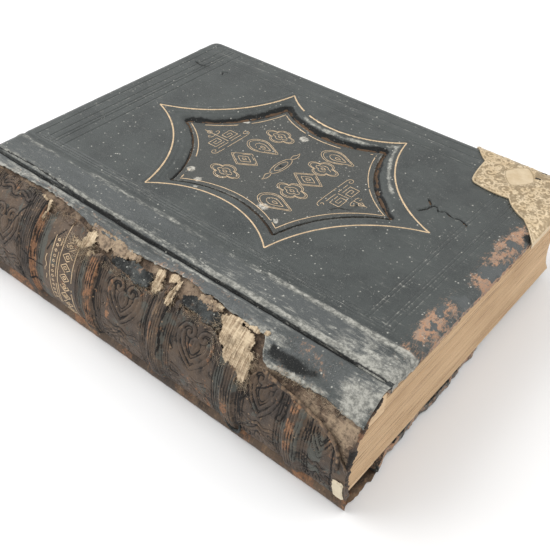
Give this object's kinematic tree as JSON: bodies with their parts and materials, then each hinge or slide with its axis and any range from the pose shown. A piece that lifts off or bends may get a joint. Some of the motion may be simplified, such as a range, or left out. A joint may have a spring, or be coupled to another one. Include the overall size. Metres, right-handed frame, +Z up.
{
  "type": "bible",
  "caption": "Large old leather-bound family bible lying closed, with a sunken star panel, raised bands on its rounded spine and one brass corner; its covers and leaves open.",
  "frame": {"origin": "middle of the book's underside, where it rests on a table", "axes": "+X from the spine to the fore-edge, +Y from the tail to the head, +Z up from the back cover to the front cover"},
  "size_m": [0.2678, 0.3314, 0.074],
  "materials": {
    "cover_leather": "blue-black grained leather, worn grey at its edges",
    "panel_leather": "smooth blue-black leather with gilt lines",
    "spine_leather": "dark brown dried leather, flaking to orange tan",
    "worn_leather": "worn tan leather",
    "brass": "dull stamped brass",
    "end_paper": "plain aged paper",
    "leaf_paper": "aged leaf edges",
    "pasteboard": "layered pasteboard",
    "linen": "frayed linen",
    "thread": "linen sewing cord"
  },
  "bodies": {
    "back_cover": {"back_board": "pasteboard", "back_leather": "cover_leather", "back_pastedown": "end_paper", "back_joint_leather": "worn_leather"},
    "text_block": {"section_1": "leaf_paper", "section_2": "leaf_paper", "section_3": "leaf_paper", "section_4": "leaf_paper", "section_5": "leaf_paper", "section_6": "leaf_paper", "section_7": "leaf_paper", "section_8": "leaf_paper", "front_sewn_folds": "leaf_paper", "back_sewn_folds": "leaf_paper", "sewing_cord_1": "thread", "sewing_cord_2": "thread", "sewing_cord_3": "thread", "sewing_cord_4": "thread", "sewing_cord_5": "thread", "sewing_cord_6": "thread", "raised_band_1": "pasteboard", "raised_band_2": "pasteboard", "raised_band_3": "pasteboard", "raised_band_4": "pasteboard", "raised_band_5": "pasteboard", "raised_band_6": "pasteboard", "spine_lining_1": "linen", "spine_lining_2": "linen", "spine_lining_3": "linen", "spine_lining_4": "linen", "spine_lining_5": "linen", "spine_lining_6": "linen", "spine_lining_7": "linen", "spine_card": "pasteboard", "spine_leather": "spine_leather", "front_joint_lining": "linen", "headband": "thread"},
    "front_cover": {"front_board": "pasteboard", "front_leather": "cover_leather", "front_pastedown": "end_paper", "star_panel": "panel_leather", "brass_corner": "brass", "brass_pin_lobe": "brass", "brass_pin_edge": "brass"},
    "front_flyleaf_body": {"front_flyleaf": "end_paper"},
    "leaves_1_body": {"leaves_1": "leaf_paper"},
    "leaves_2_body": {"leaves_2": "leaf_paper"},
    "leaves_3_body": {"leaves_3": "leaf_paper"},
    "leaves_4_body": {"leaves_4": "leaf_paper"},
    "leaves_5_body": {"leaves_5": "leaf_paper"},
    "back_flyleaf_body": {"back_flyleaf": "end_paper"},
    "back_leaves_body": {"back_leaves": "leaf_paper"}
  },
  "joints": [
    {"name": "back_hinge", "type": "hinge", "parent": "back_cover", "child": "text_block", "pos_m": [-0.11653, 0, 0.0188], "axis": [0, -1, 0], "range_deg": [0, 90]},
    {"name": "front_hinge", "type": "hinge", "parent": "text_block", "child": "front_cover", "pos_m": [-0.09753, 0.00075, 0.0729], "axis": [0, -1, 0], "range_deg": [0, 175]},
    {"name": "front_flyleaf_turn", "type": "hinge", "parent": "text_block", "child": "front_flyleaf_body", "pos_m": [-0.09753, 0.00075, 0.0729], "axis": [0, -1, 0], "range_deg": [0, 175]},
    {"name": "leaves_1_turn", "type": "hinge", "parent": "text_block", "child": "leaves_1_body", "pos_m": [-0.09753, 0.00075, 0.0729], "axis": [0, -1, 0], "range_deg": [0, 175]},
    {"name": "leaves_2_turn", "type": "hinge", "parent": "text_block", "child": "leaves_2_body", "pos_m": [-0.09753, 0.00075, 0.0729], "axis": [0, -1, 0], "range_deg": [0, 175]},
    {"name": "leaves_3_turn", "type": "hinge", "parent": "text_block", "child": "leaves_3_body", "pos_m": [-0.09753, 0.00075, 0.0729], "axis": [0, -1, 0], "range_deg": [0, 175]},
    {"name": "leaves_4_turn", "type": "hinge", "parent": "text_block", "child": "leaves_4_body", "pos_m": [-0.09753, 0.00075, 0.0729], "axis": [0, -1, 0], "range_deg": [0, 175]},
    {"name": "leaves_5_turn", "type": "hinge", "parent": "text_block", "child": "leaves_5_body", "pos_m": [-0.09753, 0.00075, 0.0729], "axis": [0, -1, 0], "range_deg": [0, 175]},
    {"name": "back_flyleaf_turn", "type": "hinge", "parent": "back_cover", "child": "back_flyleaf_body", "pos_m": [-0.11653, 0, 0.0188], "axis": [0, -1, 0], "range_deg": [0, 90]},
    {"name": "back_leaves_turn", "type": "hinge", "parent": "back_cover", "child": "back_leaves_body", "pos_m": [-0.11653, 0, 0.0188], "axis": [0, -1, 0], "range_deg": [0, 90]}
  ],
  "couplings": [
    {"joint": "front_flyleaf_turn", "follows": "front_hinge", "ratio": 0.97},
    {"joint": "leaves_1_turn", "follows": "front_hinge", "ratio": 0.93},
    {"joint": "leaves_2_turn", "follows": "front_hinge", "ratio": 0.88},
    {"joint": "leaves_3_turn", "follows": "front_hinge", "ratio": 0.8},
    {"joint": "leaves_4_turn", "follows": "front_hinge", "ratio": 0.2},
    {"joint": "leaves_5_turn", "follows": "front_hinge", "ratio": 0.1},
    {"joint": "back_flyleaf_turn", "follows": "back_hinge", "ratio": 0.25},
    {"joint": "back_leaves_turn", "follows": "back_hinge", "ratio": 0.5}
  ]
}
